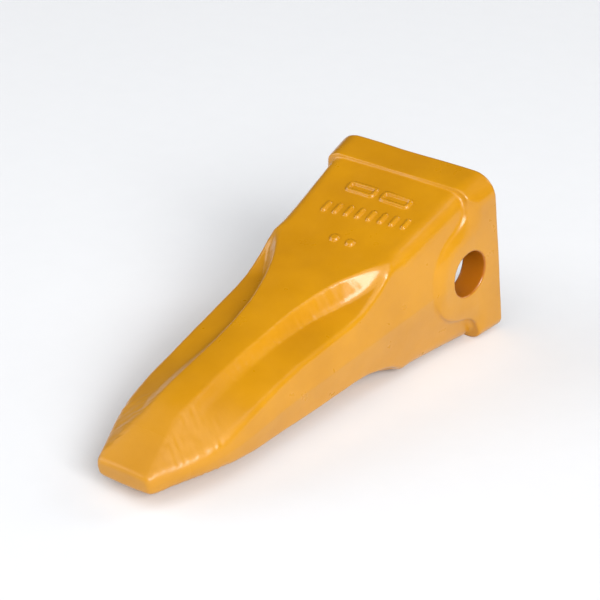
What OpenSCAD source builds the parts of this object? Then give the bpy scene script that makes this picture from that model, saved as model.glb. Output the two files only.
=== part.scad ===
// Side-pin excavator bucket tooth, lying on its lower face, with its own retention set.
// Built along its own centre line (tip at y = 0, rear rim at y = tooth_len), then pitched
// and moved so that the pin axis crosses the plane of symmetry at the origin.

/* [Tooth] */
// overall length, tip face to rear rim
tooth_len = 250; // [235:1:265]
// half width of the collar at the rear rim
collar_hw = 50.6; // [49.5:0.1:52]
// half height of the collar at the rear rim
collar_hh = 48.3; // [47:0.1:50]
// radius of the collar's two upper corners seen from behind
collar_corner = 13; // [9:1:16]
// radius of its two lower corners
lower_corner = 7; // [5:1:12]
// length of the collar lip along the tooth
collar_band = 19; // [15:1:21]
// half width of the tip
tip_hw = 16.7; // [15:0.1:19]
// half thickness of the tip face
tip_hh = 4.9; // [4:0.1:6]
// pitch of the tooth as it lies on its lower face
rest_pitch = 7.95; // [0:0.05:12]

/* [Ears and bore] */
// distance from the rear rim to the pin axis
pin_setback = 24.7; // [24:0.1:28]
// radius of the pin bore through both ears
bore_r = 12.75; // [12.5:0.05:13]
// half distance over the outer faces of the ears
ear_face = 48.4; // [48:0.1:49]
// radius of the round ear boss
boss_r = 27; // [25:0.5:28]
// radius of the sweep from the boss into the collar
sweep_r = 14; // [10:1:18]
// half distance between the flat pads inside the ears
pad_face = 34.4; // [33.5:0.1:35]
// radius of the flat pads
pad_r = 19; // [18.5:0.5:20]

/* [Nose pocket] */
// depth of the pocket from the rear rim
pocket_depth = 135; // [120:1:140]
// half width of the pocket at its mouth
mouth_hw = 37.5; // [36.5:0.5:38]
// half height of the pocket at its mouth
mouth_hh = 37; // [34:0.5:38]
// half width of the pocket at its blind end
seat_hw = 15.5; // [13:0.5:17]
// half height of the pocket at its blind end
seat_hh = 8.5; // [7:0.5:10]

/* [Retaining pin] */
// radius of the pin
pin_r = 12; // [11.8:0.05:12]
// length of the pin
pin_len = 88; // [86:1:92]
// how far the pin still has to be driven to be home
pin_travel = 16; // [12:1:20]
// width of the groove that the lock ring snaps into
groove_w = 5.4; // [5:0.1:6]
// depth of that groove
groove_d = 1; // [0.6:0.1:1.4]

/* [Lock ring] */
// radial clearance between the pin and the lock ring
ring_clear = 0.05; // [0.02:0.01:0.1]
// outer radius of the steel ring
ring_r = 15; // [14.5:0.1:15.5]
// width of the steel ring
ring_w = 4.6; // [4:0.1:4.8]
// gap of the split
split_gap = 2; // [1.5:0.1:3]
// outer radius of the rubber cushion
cushion_r = 18; // [17.5:0.1:18.5]
// depth of the counterbore that holds the cushion
seat_depth = 6; // [5:0.1:6.5]

/* [Hidden] */
enamel = [0.83, 0.55, 0.07];
steel = [0.55, 0.56, 0.58];
spring_steel = [0.35, 0.36, 0.38];
rubber = [0.05, 0.05, 0.05];

ky = tooth_len / 250;
kx = ear_face / 48.4;
pin_y = tooth_len - pin_setback;
band_y = tooth_len - collar_band;

// design lines of one quarter of the wedge, as [distance from the tip, offset]
rib_top = [[0, tip_hh], [11, 9.2], [20, 12.8], [31, 16.6], [36, 18.1], [41, 19.2], [50, 20.6],
    [65, 22.2], [100, 25], [127, 28.5], [150, 31.7], [160, 32.6], [171, 33.9], [190, 36.9],
    [211, 40.9], [236, 45.6]];
rib_half = [[0, 14.6], [20, 10.8], [31, 8.6], [44, 9.4], [80, 9.4], [100, 10.4], [120, 12.6],
    [138, 17.2], [150, 21.8], [162, 28.5], [171, 34.5], [211, 37], [236, 39]];
foot_half = [[0, 15.4], [20, 13], [31, 11.4], [42, 12.2], [57, 13], [82, 13.8], [98, 14.4],
    [127, 18.4], [147, 26], [156, 31], [163, 35.2], [171, 37.2], [211, 39.6], [236, 41.2]];
foot_top = [[0, 4.6], [11, 8.2], [20, 11.3], [26, 13.2], [31, 14.6], [36, 15.7], [42, 16.6],
    [50, 17.3], [60, 17.8], [82, 18.2], [98, 18.8], [127, 19.6], [147, 20.8], [156, 23.6],
    [163, 27], [171, 32.9], [190, 36.3],
    [211, 40.2], [236, 45]];
edge_top = [[0, 4.3], [11, 4.4], [20, 4.7], [31, 5.8], [44, 8.2], [60, 11.2], [80, 13.9],
    [98, 16], [122, 17.2], [135, 17.8], [145, 19.2], [152, 21.8], [160, 25.8], [166, 30],
    [171, 32.4], [190, 35.9], [211, 39.7], [236, 44.4]];
side_half = [[0, tip_hw], [11, 21.9], [20, 26.3], [31, 30.5], [44, 33.5], [60, 34.5], [80, 34.8],
    [98, 35.8], [135, 39.3], [236, 48.2]];
edge_round = [[0, 1.6], [150, 2.4], [168, 3.4], [180, 5.5]];
side_draft = 0.12;
stations = [0, 5, 11, 20, 31, 37, 44, 52, 60, 80, 98, 112, 122, 130, 136, 142, 147, 152, 156, 160,
    163, 166, 169, 172, 180, 190, 200, 211, 224, 236];

function quarter(y) =
    let (edge = lookup(y, edge_top), side = lookup(y, side_half))
    [[0, lookup(y, rib_top) + 0.5],
    [kx * lookup(y, rib_half), lookup(y, rib_top)],
    [kx * lookup(y, foot_half), lookup(y, foot_top)],
    [kx * (side - side_draft * edge), edge],
    [kx * side, 0]];
function unit(v) = v / norm(v);
// one corner of a section, softened by a short three-step curve
function soften(a, c, b, r) =
    let (u = unit(a - c), v = unit(b - c))
    let (half = acos(max(-1, min(1, u * v))) / 2)
    let (t = min(r / max(tan(half), 0.01), 0.42 * norm(a - c), 0.42 * norm(b - c)))
    [for (k = [0 : 3]) let (s = k / 3)
        (1 - s) * (1 - s) * (c + t * u) + 2 * s * (1 - s) * c + s * s * (c + t * v)];
function soft_quarter(q, edge_r) = concat(
    [q[0]],
    soften(q[0], q[1], q[2], 4),
    soften(q[1], q[2], q[3], 5),
    soften(q[2], q[3], q[4], edge_r),
    [q[4]]);
function backwards(p) = [for (i = [len(p) - 1 : -1 : 0]) p[i]];
function flip(p, sx, sz) = [for (q = p) [q[0] * sx, q[1] * sz]];
function inner(p) = [for (i = [1 : len(p) - 2]) p[i]];
function ring_of(q) = concat(
    q,
    backwards([for (i = [0 : len(q) - 2]) [q[i][0], -q[i][1]]]),
    [for (i = [1 : len(q) - 1]) [-q[i][0], -q[i][1]]],
    backwards(flip(inner(q), -1, 1)));
function wedge_ring(y) = ring_of(soft_quarter(quarter(y), lookup(y, edge_round)));
// rounded rectangle with the same number of points for every size, upper radius r, lower rl
function arc_steps() = 6;
function box_ring(hw, hh, r, rl) = [for (c = [0 : 3]) for (k = [0 : arc_steps()])
    let (a = 90 - 90 * c - 90 * k / arc_steps())
    let (sx = (c == 0 || c == 1) ? 1 : -1, sz = (c == 0 || c == 3) ? 1 : -1)
    let (q = sz > 0 ? r : rl)
    [sx * (hw - q) + q * cos(a), sz * (hh - q) + q * sin(a)]];

// solid skin through a row of sections, each a ring of [x, z] at its own y
module skin(rings, ys) {
    n = len(rings[0]);
    m = len(rings);
    points = [for (j = [0 : m - 1]) for (p = rings[j]) [p[0], ys[j], p[1]]];
    sides = [for (j = [0 : m - 2]) for (i = [0 : n - 1]) for (t = [0, 1])
        let (a = j * n + i, b = j * n + (i + 1) % n)
        t == 0 ? [a, a + n, b] : [b, a + n, b + n]];
    near = [[for (i = [0 : n - 1]) i]];
    far = [[for (i = [n - 1 : -1 : 0]) (m - 1) * n + i]];
    polyhedron(points, concat(sides, near, far), convexity = 6);
}

// cylinder along the pin axis from x0 to x1
module across(x0, x1, r0, r1, fn = 96) {
    translate([x0, pin_y, 0])
        rotate([0, 90, 0])
            cylinder(h = x1 - x0, r1 = r0, r2 = r1, $fn = fn);
}

// wedge with the central rib, the two flutes above and below, and the bevelled tip
module wedge_body() {
    skin([for (y = stations) wedge_ring(y)], [for (y = stations) y * ky]);
}

// thicker band around the rear end, a low step above the wedge
module collar() {
    ys = [band_y - 1, band_y + 0.6, tooth_len - 1, tooth_len];
    hw = [ear_face - 1.4, ear_face, collar_hw, collar_hw - 1];
    hh = [collar_hh - 3.6, collar_hh - 2.2, collar_hh, collar_hh - 1];
    skin([for (i = [0 : 3])
        box_ring(hw[i], hh[i], collar_corner - (i == 3 ? 1 : 0), lower_corner - (i == 3 ? 1 : 0))], ys);
}

// outline of the ears seen from the side: the round boss swept up and down into the collar
function ear_outline(r) =
    let (line_y = band_y + 2 - pin_y, cy = line_y - sweep_r)
    let (cz = sqrt(pow(r + sweep_r, 2) - pow(cy, 2)), a0 = atan2(cz, cy))
    let (sweep = [for (k = [0 : 6]) let (a = a0 + 180 - (a0 + 180 - 360) * k / 6)
        [cy + sweep_r * cos(a), cz + sweep_r * sin(a)]])
    let (boss = [for (k = [0 : 15]) let (a = a0 + (180 - a0) * k / 16) [r * cos(a), r * sin(a)]])
    let (upper = concat(backwards(sweep), boss), n = len(upper))
    concat(upper, [[-r, 0]], [for (i = [n - 1 : -1 : 0]) [upper[i][0], -upper[i][1]]]);

// one flat-faced block through both ears, with a small bevel at each face
module ears() {
    for (layer = [[ear_face - 1, 0.8], [ear_face, 0]])
        translate([0, pin_y, 0])
            rotate([90, 0, 90])
                translate([0, 0, -layer[0]])
                    linear_extrude(height = 2 * layer[0])
                        polygon(ear_outline(boss_r + layer[1]));
}

// blind tapered socket for the nose of the adapter
module nose_pocket() {
    y0 = tooth_len - pocket_depth;
    y1 = tooth_len - 43;
    ys = [y0, y0 + 4, y1, tooth_len - 3, tooth_len + 1];
    hw = [seat_hw - 2.5, seat_hw + 0.6, mouth_hw - 5, mouth_hw - 0.3, mouth_hw + 1.6];
    mid_hh = seat_hh + (mouth_hh - seat_hh) * (y1 - y0) / pocket_depth;
    hh = [seat_hh - 2.5, seat_hh + 0.6, mid_hh, mouth_hh - 0.3, mouth_hh + 1.6];
    rr = [3, 5, 7, 8, 9];
    skin([for (i = [0 : 4]) box_ring(hw[i], hh[i], rr[i], rr[i])], ys);
}

// pocket with the flat pads inside the ears
module shaped_pocket() {
    difference() {
        nose_pocket();
        across(pad_face, 60, pad_r, pad_r);
        across(-60, -pad_face, pad_r, pad_r);
    }
    across(-pad_face, pad_face, pad_r, pad_r);
}

// puts a mark on the upper rear face, x to the side and y from the tip
module on_top_face(x, y) {
    rise = lookup(y + 4, rib_top) - lookup(y - 4, rib_top);
    translate([x, y * ky, lookup(y, rib_top)])
        rotate([atan(rise / 8), 0, 0])
            children();
}

// raised foundry marks: two frames, a row of short ribs and two dots
module casting_marks() {
    for (x = [-9.5, 12.5])
        on_top_face(x, 213)
            difference() {
                cube([18, 7, 2.6], center = true);
                cube([14.4, 3.4, 4], center = true);
            }
    for (i = [0 : 7])
        on_top_face(-20 + 6.8 * i, 195 + 0.7 * i)
            cube([2.2, 7.5, 2.4], center = true);
    for (x = [-1, 9])
        on_top_face(x, 176)
            cylinder(h = 2.4, r = 2.3, center = true, $fn = 24);
}

// moves a piece from the tooth's own axes to the row frame
module placed() {
    rotate([rest_pitch, 0, 0])
        translate([0, -pin_y, 0])
            children();
}

module tooth_point() {
    color(enamel)
        placed()
            difference() {
                union() {
                    wedge_body();
                    collar();
                    ears();
                    casting_marks();
                }
                shaped_pocket();
                across(-60, 60, bore_r, bore_r);
                across(ear_face - 0.8, ear_face + 1, bore_r, bore_r + 1.8);
                across(-ear_face - 1, -ear_face + 0.8, bore_r + 1.8, bore_r);
                across(-pad_face - seat_depth, -pad_face + 1, cushion_r, cushion_r);
            }
}

module retaining_pin() {
    x0 = -pin_len / 2 - pin_travel;
    x1 = x0 + pin_len;
    g0 = -pad_face - seat_depth / 2 - pin_travel - groove_w / 2;
    g1 = g0 + groove_w;
    neck = pin_r - groove_d;
    profile = [[0, x0 + 3], [4, x0], [pin_r - 1.4, x0], [pin_r, x0 + 1.4], [pin_r, g0],
        [neck, g0 + 0.4], [neck, g1 - 0.4], [pin_r, g1], [pin_r, x1 - 5], [pin_r - 2.5, x1], [0, x1]];
    color(steel)
        placed()
            translate([0, pin_y, 0])
                rotate([0, 90, 0])
                    rotate_extrude($fn = 96)
                        polygon(profile);
}

module lock_ring() {
    xm = -pad_face - seat_depth / 2;
    color(spring_steel)
        placed()
            difference() {
                across(xm - ring_w / 2, xm + ring_w / 2, ring_r, ring_r);
                across(xm - ring_w, xm + ring_w, pin_r + ring_clear, pin_r + ring_clear);
                translate([xm, pin_y + ring_r, 0])
                    cube([ring_w * 2, ring_r * 2, split_gap], center = true);
            }
}

module lock_cushion() {
    xm = -pad_face - seat_depth / 2;
    color(rubber)
        placed()
            difference() {
                across(xm - seat_depth / 2, xm + seat_depth / 2, cushion_r, cushion_r);
                across(xm - seat_depth, xm + seat_depth, bore_r, bore_r);
                across(xm - ring_w / 2, xm + ring_w / 2, ring_r, ring_r);
            }
}

tooth_point();
retaining_pin();
lock_ring();
lock_cushion();
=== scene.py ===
"""Excavator bucket tooth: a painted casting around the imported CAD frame.

The CAD pin, lock ring and cushion stay as they are and only get materials. The casting is
rebuilt here as one smooth skin: a distance-like field is made from the same design lines as
the CAD solid, with soft cast corners, and a fine quad mesh is wrapped around its zero level.
Lengths of the casting are in millimetres in the tooth's own axes (x to the side, y from the
tip to the rear rim, z up from the middle plane); placed() turns them into the row frame.
"""
import math

import bpy
import numpy as np
from mathutils import Matrix, Vector


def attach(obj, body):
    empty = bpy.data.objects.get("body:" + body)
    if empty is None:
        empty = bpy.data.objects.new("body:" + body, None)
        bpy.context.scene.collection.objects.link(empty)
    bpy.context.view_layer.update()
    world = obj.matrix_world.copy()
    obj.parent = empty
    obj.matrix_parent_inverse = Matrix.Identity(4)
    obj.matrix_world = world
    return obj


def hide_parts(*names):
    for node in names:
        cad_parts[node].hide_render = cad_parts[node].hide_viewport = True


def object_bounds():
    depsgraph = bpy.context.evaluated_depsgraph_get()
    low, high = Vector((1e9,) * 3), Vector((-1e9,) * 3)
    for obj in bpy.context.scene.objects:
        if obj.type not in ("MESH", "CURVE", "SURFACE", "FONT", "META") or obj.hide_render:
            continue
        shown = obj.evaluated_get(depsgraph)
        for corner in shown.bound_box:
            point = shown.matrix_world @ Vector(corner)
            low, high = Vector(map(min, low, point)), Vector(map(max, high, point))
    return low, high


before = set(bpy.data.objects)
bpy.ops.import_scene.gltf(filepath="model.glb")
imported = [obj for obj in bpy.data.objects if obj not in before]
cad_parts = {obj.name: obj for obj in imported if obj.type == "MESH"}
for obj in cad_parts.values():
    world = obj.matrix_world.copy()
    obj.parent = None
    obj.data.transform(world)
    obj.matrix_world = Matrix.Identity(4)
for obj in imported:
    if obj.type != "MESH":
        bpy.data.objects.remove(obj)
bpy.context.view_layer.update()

MM = 0.001
LENGTH = 250.0           # rear rim, as all y values from the tip
PIN_Y = 225.3            # pin axis
TIP_Y = -0.7             # tip face
LIP_Y = 231.0            # front edge of the collar
WEDGE_END = 236.0        # the wedge stops inside the collar
POCKET_END = 115.0       # deepest point of the nose pocket
BORE_R = 12.75           # pin bore
BOSS_R = 27.0            # round boss of each ear
SWEEP_R = 16.0           # sweep from the boss up or down to the collar
COLLAR_HALF_W = 48.6     # at the collar's front edge
COLLAR_HALF_H = 46.7
UPPER_CORNER = 13.0      # corner radii of the collar
LOWER_CORNER = 7.0
PAD_FACE = 34.4          # inner face of the pad inside each ear
PAD_R = 19.0
CUSHION_R = 18.0         # seat of the rubber cushion, in the left pad
CUSHION_W = 6.0
MARK_HEIGHT = 1.25       # raised foundry marks, each row at its own distance from the tip
FRAMES_Y = 213.0
RIBS_Y = 195.0
DOTS_Y = 176.0
FLUTE_END = 164.0        # where the flutes run out
LOWER_SHIFT = 3.5        # the lower flutes run out this much nearer the collar
PITCH = math.radians(7.95)   # the tooth lies on its lower face
CELL = 0.8               # size of the casting's mesh cells


# ---------------------------------------------------------------- design lines
def line(points, soft=3.5):
    """A smooth line through [distance from the tip, offset] points."""
    step = 0.5
    ys = np.arange(-40.0, LENGTH + 60.0, step)
    px = np.array([p[0] for p in points], float)
    pv = np.array([p[1] for p in points], float)
    vals = np.interp(ys, px, pv)
    before = pv[0] + (ys - px[0]) * (pv[1] - pv[0]) / (px[1] - px[0])
    after = pv[-1] + (ys - px[-1]) * (pv[-1] - pv[-2]) / (px[-1] - px[-2])
    vals = np.where(ys < px[0], before, np.where(ys > px[-1], after, vals))
    reach = int(4 * soft / step)
    weights = np.exp(-0.5 * (np.arange(-reach, reach + 1) * step / soft) ** 2)
    weights /= weights.sum()
    smooth = np.convolve(np.pad(vals, reach, mode="edge"), weights, mode="valid")
    return lambda y: np.interp(y, ys, smooth)


# Upper quarter of the wedge: heights and half widths of the rib's top, the rib's foot and the
# flute's outer edge, at distances from the tip. The lower half mirrors it.
RIB_TOP = line([[0, 4.9], [11, 9.2], [20, 12.8], [31, 16.6], [36, 18.1], [41, 19.2], [50, 20.6],
                [65, 22.2], [100, 25.0], [127, 28.5], [150, 31.7], [160, 32.6], [171, 33.9],
                [190, 36.9], [211, 40.9], [231, 44.8]], 1.8)
RIB_HALF = line([[0, 14.6], [20, 10.8], [31, 8.6], [44, 9.4], [80, 9.4], [100, 10.4],
                 [120, 12.6], [138, 17.2], [150, 21.8], [162, 28.5], [171, 34.5], [211, 37], [236, 39]])
FOOT_HALF = line([[0, 15.4], [20, 13.0], [31, 11.4], [42, 12.2], [57, 13], [82, 13.8], [98, 14.4],
                  [127, 18.4], [147, 26], [156, 31], [163, 35.2], [171, 37.6], [211, 40.6], [236, 42.8]])
FOOT_TOP = line([[0, 4.6], [11, 8.2], [20, 11.3], [26, 13.2], [31, 14.6], [36, 15.7], [42, 16.6],
                 [50, 17.3], [60, 17.8], [82, 18.2], [98, 18.8], [127, 19.6], [147, 20.8], [156, 23.6],
                 [163, 27.0], [171, 32.9], [190, 36.3], [211, 40.2], [231, 44.2]], 1.8)
EDGE_TOP = line([[0, 4.3], [11, 4.4], [20, 4.7], [31, 5.8], [44, 8.2], [60, 11.2], [80, 13.9],
                 [98, 16.0], [122, 17.2], [135, 17.8], [145, 19.2], [152, 21.8], [160, 25.8],
                 [166, 30.0], [171, 32.8], [190, 36.1], [211, 39.9], [231, 43.8]], 1.2)
SIDE_HALF = line([[0, 16.7], [11, 21.9], [20, 26.3], [31, 30.5], [44, 33.5], [60, 34.5], [80, 34.8],
                  [98, 35.8], [135, 39.3], [236, 48.2]], 3.0)
SIDE_DRAFT = 0.12        # the side faces lean in towards the upper and lower faces
# softness of the edge between the upper face and the side
EDGE_SOFT = line([[0, 2.4], [12, 3.6], [44, 3.6], [60, 2.8], [150, 2.8], [168, 4.0], [180, 8.5],
                  [236, 8.5]])


# ---------------------------------------------------------------- field helpers
def smooth_max(a, b, k):
    """The larger of two fields, blended over a width k."""
    h = np.maximum(k - np.abs(a - b), 0.0) / k
    return np.maximum(a, b) + h * h * k * 0.25


def smooth_min(a, b, k):
    return -smooth_max(-a, -b, k)


def smooth_step(v, low, high):
    t = np.clip((v - low) / (high - low), 0.0, 1.0)
    return t * t * (3.0 - 2.0 * t)


def rounded_rect(x, z, half_w, half_h, radius):
    dx = np.abs(x) - half_w + radius
    dz = np.abs(z) - half_h + radius
    outside = np.hypot(np.maximum(dx, 0.0), np.maximum(dz, 0.0))
    return outside + np.minimum(np.maximum(dx, dz), 0.0) - radius


NOISE_TABLE = np.random.default_rng(7).uniform(-1.0, 1.0, (64, 64, 64))


def lattice_noise(x, y, z, size, seed):
    """Smooth noise from -1 to 1 on a seeded lattice with the given spacing."""
    cells = []
    for v in (x, y, z):
        q = v / size + 1000.0 + 11.7 * seed
        i = np.floor(q).astype(np.int64)
        t = q - i
        cells.append((i, t * t * t * (t * (t * 6 - 15) + 10)))
    total = 0.0
    for cx in (0, 1):
        wx = cells[0][1] if cx else 1 - cells[0][1]
        for cy in (0, 1):
            wy = cells[1][1] if cy else 1 - cells[1][1]
            for cz in (0, 1):
                wz = cells[2][1] if cz else 1 - cells[2][1]
                spot = [(cells[axis][0] + c) & 63 for axis, c in enumerate((cx, cy, cz))]
                total = total + NOISE_TABLE[tuple(spot)] * wx * wy * wz
    return total


# ---------------------------------------------------------------- casting field
def upper_face(ax, y):
    """Height of the upper face over the middle plane: rib, flank, flute floor."""
    rib, foot, edge = RIB_TOP(y), FOOT_TOP(y), EDGE_TOP(y)
    rib_half, foot_half = RIB_HALF(y), FOOT_HALF(y)
    edge_half = SIDE_HALF(y) - SIDE_DRAFT * edge
    flank = rib - (ax - rib_half) * (rib - foot) / (foot_half - rib_half)
    floor = foot - (ax - foot_half) * (foot - edge) / (edge_half - foot_half)
    crown = rib + 0.5 * (1.0 - (ax / rib_half) ** 2)
    return smooth_min(crown, smooth_max(flank, floor, 2.8), 1.4)


def wedge(x, y, z):
    """The body from tip to collar; the lower flutes end a little nearer the collar than the upper."""
    ax, az = np.abs(x), np.abs(z)
    along = np.where(z > 0, y, y - LOWER_SHIFT * np.exp(-((y - FLUTE_END) / 11.0) ** 2))
    height = upper_face(ax, along)
    slope = (upper_face(ax + 0.5, along) - upper_face(ax - 0.5, along))
    rise = (upper_face(ax, along + 0.5) - upper_face(ax, along - 0.5))
    d_top = (az - height) / np.sqrt(1.0 + slope ** 2 + rise ** 2)
    d_side = (ax - SIDE_HALF(y) + SIDE_DRAFT * az) * 0.985
    d = smooth_max(d_top, d_side, EDGE_SOFT(y) * np.where(z > 0, 1.0, 0.7))
    return smooth_max(smooth_max(d, TIP_Y - y, 2.2), y - WEDGE_END, 2.0)


def edge_soft(z):
    """Softness where the ears meet the wedge: wide at the sides, crisp above and below."""
    return 2.6 - 1.6 * smooth_step(np.abs(z), 38.0, 44.0)


def ears(x, y, z):
    """Collar and ear bosses as one flush block, with a swept front edge that ramps down at the sides."""
    round_boss = np.hypot(y - PIN_Y, z) - BOSS_R
    outline = smooth_min(round_boss, LIP_Y - y, SWEEP_R)
    t = (y - LIP_Y) / (LENGTH - LIP_Y)     # 0 at the collar's front edge, 1 at the rim
    corner = np.where(z > 0, UPPER_CORNER, LOWER_CORNER)
    draft = 0.04 * np.abs(z) * smooth_step(-t, 0.0, 1.2)
    half_w = COLLAR_HALF_W + np.where(t > 0, 2.0, 1.0) * t - draft
    steep = 0.2 + 0.4 * smooth_step(z, -14.0, 6.0)
    ramp = steep * smooth_max(outline + 4.5, 0.0, 3.0) * (1.0 - smooth_step(np.abs(z), 36.0, 44.0))
    d = rounded_rect(x, z, half_w, COLLAR_HALF_H + 1.7 * t, corner) + ramp
    d = smooth_max(d, outline, 1.0)
    return smooth_max(d, y - LENGTH, 1.2)


def pocket(x, y, z):
    """The tapered hollow that takes the adapter's nose."""
    stations = [POCKET_END, 119, 207, 247, 252]
    half_w = np.interp(y, stations, [13, 16.1, 32.5, 37.2, 39.7])
    half_h = np.interp(y, stations, [6, 9.1, 27.9, 36.7, 39.2])
    radius = np.interp(y, [POCKET_END, 119, 207, 250], [3, 5, 7, 9])
    d = rounded_rect(x, z, half_w, half_h, radius) * 0.97
    return smooth_max(d, POCKET_END - y, 3.0)


def marks(x, y, z):
    """Generic raised foundry marks: two frames, a row of short ribs and two dots."""
    above = z - upper_face(np.abs(x), y)
    d = np.full_like(x, 50.0)
    for cx in (-9.5, 12.5):
        frame_line = np.abs(rounded_rect(x - cx, y - FRAMES_Y, 8.1, 2.7, 1.4)) - 0.9
        d = np.minimum(d, frame_line)
    for i in range(8):
        rib = rounded_rect(x + 20.0 - 6.8 * i, y - RIBS_Y - 0.7 * i, 1.1, 3.75, 0.8)
        d = np.minimum(d, rib)
    for cx in (-1.0, 9.0):
        d = np.minimum(d, np.hypot(x - cx, y - DOTS_Y) - 2.3)
    return smooth_max(d, np.abs(above) - MARK_HEIGHT, 0.7)


def waviness(x, y, z):
    """The uneven skin of a sand casting: slow waves all over, ripples in the flutes and on the tip."""
    ax, az = np.abs(x), np.abs(z)
    slow = 0.15 * lattice_noise(x, y, z, 24.0, 3) + 0.05 * lattice_noise(x, y, z, 9.0, 4)
    rib, foot = RIB_HALF(y), FOOT_HALF(y)
    flank = smooth_step(ax, rib - 1.0, rib + 1.0) * smooth_step(foot + 4.0 - ax, 0.0, 3.0)
    flank = flank * smooth_step(y, 55.0, 80.0) * smooth_step(176.0 - y, 0.0, 8.0)
    facet = smooth_step(ax, rib, rib + 1.5) * smooth_step(52.0 - y, 0.0, 22.0) * smooth_step(az, 4.0, 6.0)
    across = lattice_noise(x / 4.0 + 0.1 * y, y, z / 4.0, 1.9, 5)
    flow = lattice_noise(0.35 * x, y + 0.6 * ax, z / 3.0, 2.1, 6) + 0.6 * lattice_noise(x, y, z, 4.5, 8)
    return slow + 0.10 * flank * across + 0.22 * facet * flow


def casting(x, y, z):
    """The whole tooth: wedge, ears and marks, less the pocket, the cushion's seat and the pin bore."""
    body = smooth_min(wedge(x, y, z), ears(x, y, z), edge_soft(z))
    body = smooth_min(body, marks(x, y, z), 0.5)
    body = body - waviness(x, y, z)
    radial = np.hypot(y - PIN_Y, z)
    pads = smooth_max(radial - PAD_R, PAD_FACE - np.abs(x), 1.0)
    between_pads = smooth_max(radial - PAD_R, np.abs(x) - PAD_FACE, 1.0)
    hollow = smooth_max(pocket(x, y, z), -pads, 1.0)
    hollow = smooth_min(hollow, between_pads, 1.0)
    seat = smooth_max(radial - CUSHION_R, np.maximum(-PAD_FACE - CUSHION_W - x, x + PAD_FACE - 1.0), 0.3)
    body = smooth_max(body, -hollow, 2.5)
    body = smooth_max(body, -seat, 0.5)
    return smooth_max(body, BORE_R - radial, 1.0)


# ---------------------------------------------------------------- meshing
CORNERS = np.array([[i, j, k] for i in (0, 1) for j in (0, 1) for k in (0, 1)])
EDGES = [(a, b) for a in range(8) for b in range(a + 1, 8)
         if np.abs(CORNERS[a] - CORNERS[b]).sum() == 1]


def cell_key(c):
    """One whole number per cell or corner."""
    return (c[:, 0] * 4096 + c[:, 1]) * 4096 + c[:, 2]


def near_cells(field, low, high, cell, block=10):
    """Cells in the blocks that the surface can pass through."""
    size = cell * block
    counts = np.ceil((high - low) / size).astype(int)
    grid = np.stack(np.meshgrid(*[np.arange(n) for n in counts], indexing="ij"), -1).reshape(-1, 3)
    middle = low + (grid + 0.5) * size
    d = field(middle[:, 0], middle[:, 1], middle[:, 2])
    grid = grid[np.abs(d) < size * 1.2 + 3.0]
    inner = np.stack(np.meshgrid(*[np.arange(block)] * 3, indexing="ij"), -1).reshape(-1, 3)
    return (grid[:, None, :] * block + inner[None]).reshape(-1, 3)


def wrap(field, low, high, cell):
    """Quad mesh around the zero level of a field, one vertex per crossed cell."""
    cells = near_cells(field, low, high, cell)
    corner_keys = np.stack([cell_key(cells + c) for c in CORNERS], 1)
    keys, first, back = np.unique(corner_keys, return_index=True, return_inverse=True)
    back = back.reshape(corner_keys.shape)
    corner_cells = (cells[:, None, :] + CORNERS[None]).reshape(-1, 3)[first]
    points = low + corner_cells * cell
    values = field(points[:, 0], points[:, 1], points[:, 2])
    v = values[back]
    inside = v < 0
    mixed = inside.any(1) & ~inside.all(1)
    cells, v, inside = cells[mixed], v[mixed], inside[mixed]
    total = np.zeros((len(cells), 3))
    count = np.zeros(len(cells))
    for a, b in EDGES:
        cross = inside[:, a] != inside[:, b]
        t = np.where(cross, v[:, a] / np.where(cross, v[:, a] - v[:, b], 1.0), 0.0)
        total += np.where(cross[:, None], CORNERS[a] + t[:, None] * (CORNERS[b] - CORNERS[a]), 0.0)
        count += cross
    verts = low + (cells + total / count[:, None]) * cell
    order = np.argsort(cell_key(cells))
    cells, verts, inside = cells[order], verts[order], inside[order]
    sorted_keys = cell_key(cells)
    faces = []
    for axis in range(3):
        b, c = [(1, 2), (2, 0), (0, 1)][axis]
        far = [i for i, p in enumerate(CORNERS) if p[axis] == 1 and p.sum() == 1][0]
        cross = inside[:, 0] != inside[:, far]
        base = cells[cross]
        starts_inside = inside[cross, 0]
        ring = []
        for ob, oc in ((0, 0), (-1, 0), (-1, -1), (0, -1)):
            other = base.copy()
            other[:, b] += ob
            other[:, c] += oc
            ring.append(np.searchsorted(sorted_keys, cell_key(other)))
        quads = np.stack(ring, 1)
        quads[~starts_inside] = quads[~starts_inside][:, ::-1]
        faces.append(quads)
    return verts, np.concatenate(faces)


def gradient(field, p, h=0.12):
    cols = []
    for axis in range(3):
        step = np.zeros(3)
        step[axis] = h
        rise = field(*(p + step).T) - field(*(p - step).T)
        cols.append(rise / (2 * h))
    return np.stack(cols, 1)


def settle(field, verts, cell, rounds=2):
    """Move the vertices onto the exact surface."""
    for _ in range(rounds):
        g = gradient(field, verts)
        d = field(verts[:, 0], verts[:, 1], verts[:, 2])
        step = d / np.maximum((g * g).sum(1), 0.15)
        verts = verts - np.clip(step, -cell, cell)[:, None] * g
    return verts


def placed(verts):
    """From the tooth's own axes in mm to the row frame in metres."""
    y, z = verts[:, 1] - PIN_Y, verts[:, 2]
    c, s = math.cos(PITCH), math.sin(PITCH)
    return np.stack([verts[:, 0], y * c - z * s, y * s + z * c], 1) * MM


def mesh_object(name, verts, faces, material):
    mesh = bpy.data.meshes.new(name)
    mesh.from_pydata(verts.tolist(), [], faces.tolist())
    mesh.shade_smooth()
    mesh.materials.append(material)
    obj = bpy.data.objects.new(name, mesh)
    bpy.context.scene.collection.objects.link(obj)
    return obj


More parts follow.
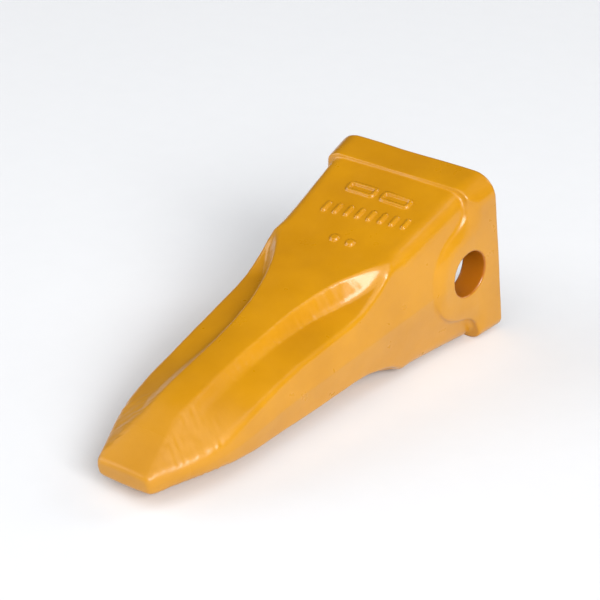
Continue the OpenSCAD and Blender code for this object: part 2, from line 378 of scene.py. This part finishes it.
# ---------------------------------------------------------------- materials
class Nodes:
    """Short helper for building a node material."""

    def __init__(self, name):
        self.material = bpy.data.materials.new(name)
        self.material.use_nodes = True
        self.tree = self.material.node_tree
        self.shader = self.tree.nodes["Principled BSDF"]

    def add(self, kind, inputs=(), **settings):
        node = self.tree.nodes.new(kind)
        for key, value in settings.items():
            setattr(node, key, value)
        for key, value in dict(inputs).items():
            if isinstance(value, bpy.types.NodeSocket):
                self.tree.links.new(value, node.inputs[key])
            else:
                node.inputs[key].default_value = value
        return node

    def set(self, **values):
        for key, value in values.items():
            socket = self.shader.inputs[key.replace("_", " ")]
            if isinstance(value, bpy.types.NodeSocket):
                self.tree.links.new(value, socket)
            else:
                socket.default_value = value

    def noise(self, where, scale, detail=3.0, rough=0.5):
        return self.add("ShaderNodeTexNoise", {"Vector": where, "Scale": scale, "Detail": detail,
                                               "Roughness": rough})

    def ramp(self, value, stops):
        node = self.add("ShaderNodeValToRGB", {"Fac": value})
        elements = node.color_ramp.elements
        while len(elements) < len(stops):
            elements.new(0.5)
        for element, (place, colour) in zip(elements, stops):
            element.position = place
            element.color = (*colour, 1.0)
        return node.outputs["Color"]


def enamel():
    """Glossy orange-yellow paint, duller at the tip, with painted shade: a darker red-brown in the pin
    bore.
    """
    m = Nodes("enamel_paint")
    where = m.add("ShaderNodeTexCoord").outputs["Object"]
    cloud = m.noise(where, 28.0, 4.0, 0.55).outputs["Fac"]
    paint = m.ramp(cloud, [(0.3, (0.47, 0.199, 0.001)), (0.7, (0.55, 0.242, 0.002))])
    around = m.add("ShaderNodeMapping", {"Vector": where, "Scale": (0.0, 1.0, 1.0)}).outputs["Vector"]
    radius = m.add("ShaderNodeVectorMath", {0: around}, operation="LENGTH").outputs["Value"]
    # Painted shade: the pin bore's wall is coloured a darker red-brown to stand for the shade inside it.
    bore_shade_mask = m.add("ShaderNodeMapRange", {"Value": radius, "From Min": 0.0129, "From Max": 0.0138,
                                           "To Min": 0.85, "To Max": 0.0}).outputs["Result"]
    colour = m.add("ShaderNodeMixRGB", {"Fac": bore_shade_mask, "Color1": paint,
                                        "Color2": (0.36, 0.095, 0.004, 1.0)}).outputs["Color"]
    gloss = m.noise(where, 90.0, 3.0, 0.6).outputs["Fac"]
    rough = m.add("ShaderNodeMapRange", {"Value": gloss, "From Min": 0.3, "From Max": 0.7,
                                         "To Min": 0.27, "To Max": 0.38}).outputs["Result"]
    along = m.add("ShaderNodeSeparateXYZ", {"Vector": where}).outputs["Y"]
    worn = m.add("ShaderNodeMapRange", {"Value": along, "From Min": -0.215, "From Max": -0.15,
                                        "To Min": 0.15, "To Max": 0.0}).outputs["Result"]
    rough = m.add("ShaderNodeMath", {0: rough, 1: worn}, operation="ADD").outputs["Value"]
    coat_rough = m.add("ShaderNodeMath", {0: worn, 1: 0.15}, operation="ADD").outputs["Value"]
    peel = m.noise(where, 420.0, 2.0, 0.5).outputs["Fac"]
    bump = m.add("ShaderNodeBump", {"Strength": 0.1, "Distance": 0.0004, "Height": peel}).outputs["Normal"]
    m.set(Base_Color=colour, Roughness=rough, Normal=bump, Coat_Weight=0.35, Coat_Roughness=coat_rough,
          Specular_IOR_Level=0.4)
    return m.material


def pin_steel():
    m = Nodes("turned_steel")
    where = m.add("ShaderNodeTexCoord").outputs["Object"]
    stretched = m.add("ShaderNodeMapping", {"Vector": where,
                                            "Scale": (900.0, 30.0, 30.0)}).outputs["Vector"]
    turning = m.noise(stretched, 1.0, 3.0, 0.6).outputs["Fac"]
    colour = m.ramp(turning, [(0.3, (0.30, 0.31, 0.33)), (0.7, (0.46, 0.47, 0.49))])
    rough = m.add("ShaderNodeMapRange", {"Value": turning, "To Min": 0.28,
                                         "To Max": 0.45}).outputs["Result"]
    bump = m.add("ShaderNodeBump", {"Strength": 0.15, "Distance": 0.0002,
                                    "Height": turning}).outputs["Normal"]
    m.set(Base_Color=colour, Metallic=1.0, Roughness=rough, Normal=bump)
    return m.material


def spring_steel():
    m = Nodes("blued_spring_steel")
    where = m.add("ShaderNodeTexCoord").outputs["Object"]
    cloud = m.noise(where, 160.0, 4.0, 0.6).outputs["Fac"]
    colour = m.ramp(cloud, [(0.35, (0.07, 0.08, 0.10)), (0.65, (0.16, 0.17, 0.19))])
    bump = m.add("ShaderNodeBump", {"Strength": 0.2, "Distance": 0.0002, "Height": cloud}).outputs["Normal"]
    m.set(Base_Color=colour, Metallic=0.9, Roughness=0.42, Normal=bump)
    return m.material


def rubber():
    m = Nodes("black_rubber")
    where = m.add("ShaderNodeTexCoord").outputs["Object"]
    grain = m.noise(where, 700.0, 3.0, 0.6).outputs["Fac"]
    colour = m.ramp(grain, [(0.3, (0.016, 0.016, 0.017)), (0.7, (0.034, 0.033, 0.032))])
    bump = m.add("ShaderNodeBump", {"Strength": 0.3, "Distance": 0.0003, "Height": grain}).outputs["Normal"]
    m.set(Base_Color=colour, Roughness=0.75, Normal=bump)
    return m.material


def floor_paper():
    m = Nodes("pale_floor")
    where = m.add("ShaderNodeTexCoord").outputs["Object"]
    fibre = m.noise(where, 60.0, 3.0, 0.6).outputs["Fac"]
    colour = m.ramp(fibre, [(0.0, (0.77, 0.78, 0.80)), (1.0, (0.79, 0.80, 0.82))])
    m.set(Base_Color=colour, Roughness=0.9, Specular_IOR_Level=0.1)
    return m.material


# ---------------------------------------------------------------- pieces and scene
def tooth():
    """The casting's skin in place of the CAD node tooth_point."""
    low = np.array([-53.0, -4.0, -51.0])
    high = np.array([53.0, 254.0, 51.0])
    verts, faces = wrap(casting, low, high, CELL)
    verts = settle(casting, verts, CELL)
    obj = mesh_object("tooth_casting", placed(verts), faces, enamel())
    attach(obj, "point")
    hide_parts("tooth_point")


def dress(node, material):
    """Give a CAD piece its material."""
    obj = bpy.data.objects[node]
    obj.data.materials.clear()
    obj.data.materials.append(material)


def area_light(name, azimuth, elevation, distance, size, power):
    """A softbox seen from the tooth at an azimuth (0 = in front of the tip, 90 = right) and elevation."""
    light = bpy.data.lights.new(name, "AREA")
    light.shape = "RECTANGLE"
    light.size, light.size_y = size
    light.energy = power
    obj = bpy.data.objects.new(name, light)
    aim = Vector((0.0, -0.1, 0.0))
    turn, rise = math.radians(azimuth), math.radians(elevation)
    way = Vector((math.sin(turn) * math.cos(rise), -math.cos(turn) * math.cos(rise), math.sin(rise)))
    obj.location = aim + way * distance
    obj.rotation_euler = (-way).to_track_quat("-Z", "Y").to_euler()
    bpy.context.scene.collection.objects.link(obj)


def studio():
    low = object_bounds()[0]
    bpy.ops.mesh.primitive_plane_add(size=12.0, location=(0.0, 0.0, low[2]))
    floor = bpy.context.active_object
    floor.name = "floor"
    floor.data.materials.append(floor_paper())
    area_light("front_right_softbox", 59.0, 29.0, 5.0, (3.2, 2.0), 285.0)
    area_light("overhead_softbox", 40.0, 62.0, 6.0, (7.4, 7.4), 232.0)
    area_light("rear_fill", 150.0, 30.0, 7.0, (3.4, 3.4), 105.0)
    area_light("left_fill", -62.0, 24.0, 5.0, (4.6, 3.8), 145.0)
    world = bpy.data.worlds.new("studio_world")
    bpy.context.scene.world = world
    world.use_nodes = True
    background = world.node_tree.nodes["Background"]
    background.inputs["Color"].default_value = (0.93, 0.96, 1.0, 1.0)
    background.inputs["Strength"].default_value = 0.06
    bpy.context.scene.view_settings.view_transform = "Standard"


def camera():
    """A long lens above the right front, as fitted to the real object's edges."""
    azimuth, elevation, roll = math.radians(37.67), math.radians(27.93), math.radians(-0.44)
    distance, aim = 1.1173, Vector((0.0007, -0.0856, 0.0059))
    back = Vector((math.sin(azimuth) * math.cos(elevation), -math.cos(azimuth) * math.cos(elevation),
                   math.sin(elevation)))
    cam = bpy.data.objects.new("camera", bpy.data.cameras.new("camera"))
    cam.data.lens = 131.06
    cam.data.sensor_width = 36.0
    turn = (-back).to_track_quat("-Z", "Y").to_matrix().to_4x4()
    cam.matrix_world = Matrix.Translation(aim + back * distance) @ turn @ Matrix.Rotation(roll, 4, "Z")
    bpy.context.scene.collection.objects.link(cam)
    bpy.context.scene.camera = cam


camera()
tooth()
dress("retaining_pin", pin_steel())
dress("lock_ring", spring_steel())
dress("lock_cushion", rubber())
studio()
